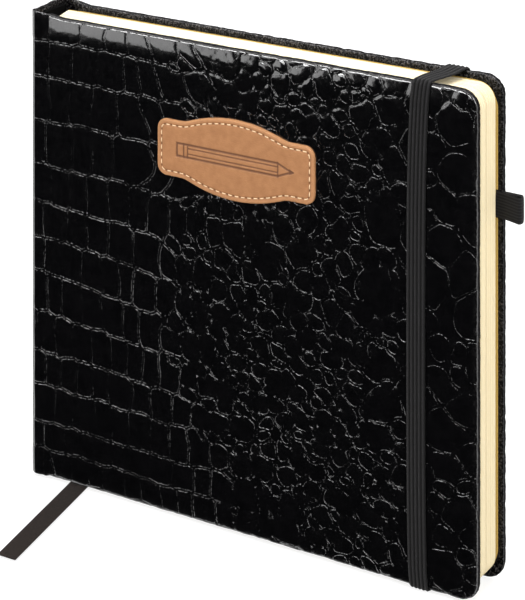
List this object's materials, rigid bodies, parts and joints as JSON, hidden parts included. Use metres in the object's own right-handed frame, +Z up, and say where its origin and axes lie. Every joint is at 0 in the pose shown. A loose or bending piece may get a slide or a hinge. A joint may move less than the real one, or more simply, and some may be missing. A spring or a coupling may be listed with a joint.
{
  "type": "sketchbook",
  "caption": "Square hardback sketchbook with padded black embossed covers, a tan label, an elastic strap, a pen loop and a ribbon bookmark, standing upright.",
  "frame": {"origin": "centre of the spine's flat outer face, at half the covers' height", "axes": "+X from the spine to the fore-edge, -Y out of the front cover, +Z up; the closed book stands on its lower edges"},
  "size_m": [0.2318, 0.095, 0.208],
  "materials": {
    "black_leather": "glossy black imitation leather with a crocodile-scale emboss",
    "grey_foam": "soft closed-cell pad under the leather",
    "grey_board": "pressed grey bookbinding board",
    "cream_paper": "uncoated cream drawing paper",
    "cream_endpaper": "smooth cream endpaper",
    "ochre_endpaper": "smooth ochre endpaper",
    "white_mull": "open-weave cotton mull and glue",
    "charcoal_elastic": "ribbed woven elastic, matt",
    "dark_ribbon": "woven satin ribbon, dark brown-grey",
    "tan_leather": "smooth tan leather, satin",
    "cream_thread": "cream sewing thread"
  },
  "bodies": {
    "back_cover": {"back_cover_skin": "black_leather", "back_foam_pad": "grey_foam", "back_board": "grey_board", "back_pastedown": "ochre_endpaper", "back_joint_leather": "black_leather", "back_flyleaf": "ochre_endpaper", "back_spine_lining": "white_mull", "section_06": "cream_paper", "section_07": "cream_paper", "section_08": "cream_paper", "section_09": "cream_paper", "section_10": "cream_paper", "strap_head_end": "charcoal_elastic", "strap_tail_end": "charcoal_elastic", "pen_loop_tab": "charcoal_elastic", "ribbon_bookmark": "dark_ribbon"},
    "spine": {"spine_leather": "black_leather", "spine_board": "grey_board"},
    "front_cover": {"front_cover_skin": "black_leather", "front_foam_pad": "grey_foam", "front_board": "grey_board", "front_pastedown": "cream_endpaper", "front_joint_leather": "black_leather", "label_plaque": "tan_leather", "label_stitching": "cream_thread"},
    "front_pages": {"section_01": "cream_paper", "section_02": "cream_paper", "section_03": "cream_paper", "section_04": "cream_paper", "section_05": "cream_paper", "front_flyleaf": "cream_endpaper", "front_spine_lining": "white_mull"},
    "leaf_1": {"centre_leaf_1": "cream_paper"},
    "leaf_2": {"centre_leaf_2": "cream_paper"},
    "leaf_3": {"centre_leaf_3": "cream_paper"},
    "strap": {"elastic_strap": "charcoal_elastic"},
    "bookmark_tail": {"ribbon_tail": "dark_ribbon"},
    "pen_loop": {"pen_loop": "charcoal_elastic"}
  },
  "joints": [
    {"name": "spine_hinge", "type": "hinge", "parent": "back_cover", "child": "spine", "pos_m": [0.003, 0.01075, 0], "axis": [0, 0, -1], "range_deg": [0, 90], "deforming": ["back_joint_leather"]},
    {"name": "front_cover_hinge", "type": "hinge", "parent": "spine", "child": "front_cover", "pos_m": [0.003, -0.01075, 0], "axis": [0, 0, -1], "range_deg": [0, 90], "deforming": ["front_joint_leather"]},
    {"name": "pages_hinge", "type": "hinge", "parent": "back_cover", "child": "front_pages", "pos_m": [0.005, 0, 0], "axis": [0, 0, -1], "range_deg": [0, 176]},
    {"name": "leaf_1_hinge", "type": "hinge", "parent": "back_cover", "child": "leaf_1", "pos_m": [0.005, 0, 0], "axis": [0, 0, -1], "range_deg": [0, 150]},
    {"name": "leaf_2_hinge", "type": "hinge", "parent": "back_cover", "child": "leaf_2", "pos_m": [0.005, 0, 0], "axis": [0, 0, -1], "range_deg": [0, 105]},
    {"name": "leaf_3_hinge", "type": "hinge", "parent": "back_cover", "child": "leaf_3", "pos_m": [0.005, 0, 0], "axis": [0, 0, -1], "range_deg": [0, 40]},
    {"name": "strap_slide", "type": "slide", "parent": "back_cover", "child": "strap", "axis": [0.1968, 0.9804, 0], "range_m": [0, 0.02948], "deforming": ["elastic_strap"]},
    {"name": "bookmark_hinge", "type": "hinge", "parent": "back_cover", "child": "bookmark_tail", "pos_m": [0.0245, 0.00045, -0.103], "axis": [0, 0, 1], "range_deg": [-25, 25]},
    {"name": "pen_loop_hinge", "type": "hinge", "parent": "back_cover", "child": "pen_loop", "pos_m": [0.2205, 0.0094, 0.0513], "axis": [0, 0, 1], "range_deg": [-20, 6]}
  ],
  "couplings": [
    {"joint": "front_cover_hinge", "follows": "spine_hinge", "ratio": 1},
    {"joint": "pages_hinge", "follows": "spine_hinge", "ratio": 1.9556},
    {"joint": "leaf_1_hinge", "follows": "spine_hinge", "ratio": 1.6667},
    {"joint": "leaf_2_hinge", "follows": "spine_hinge", "ratio": 1.1667},
    {"joint": "leaf_3_hinge", "follows": "spine_hinge", "ratio": 0.44444},
    {"joint": "strap_slide", "follows": "spine_hinge", "m_per_rad": 0.018765}
  ]
}
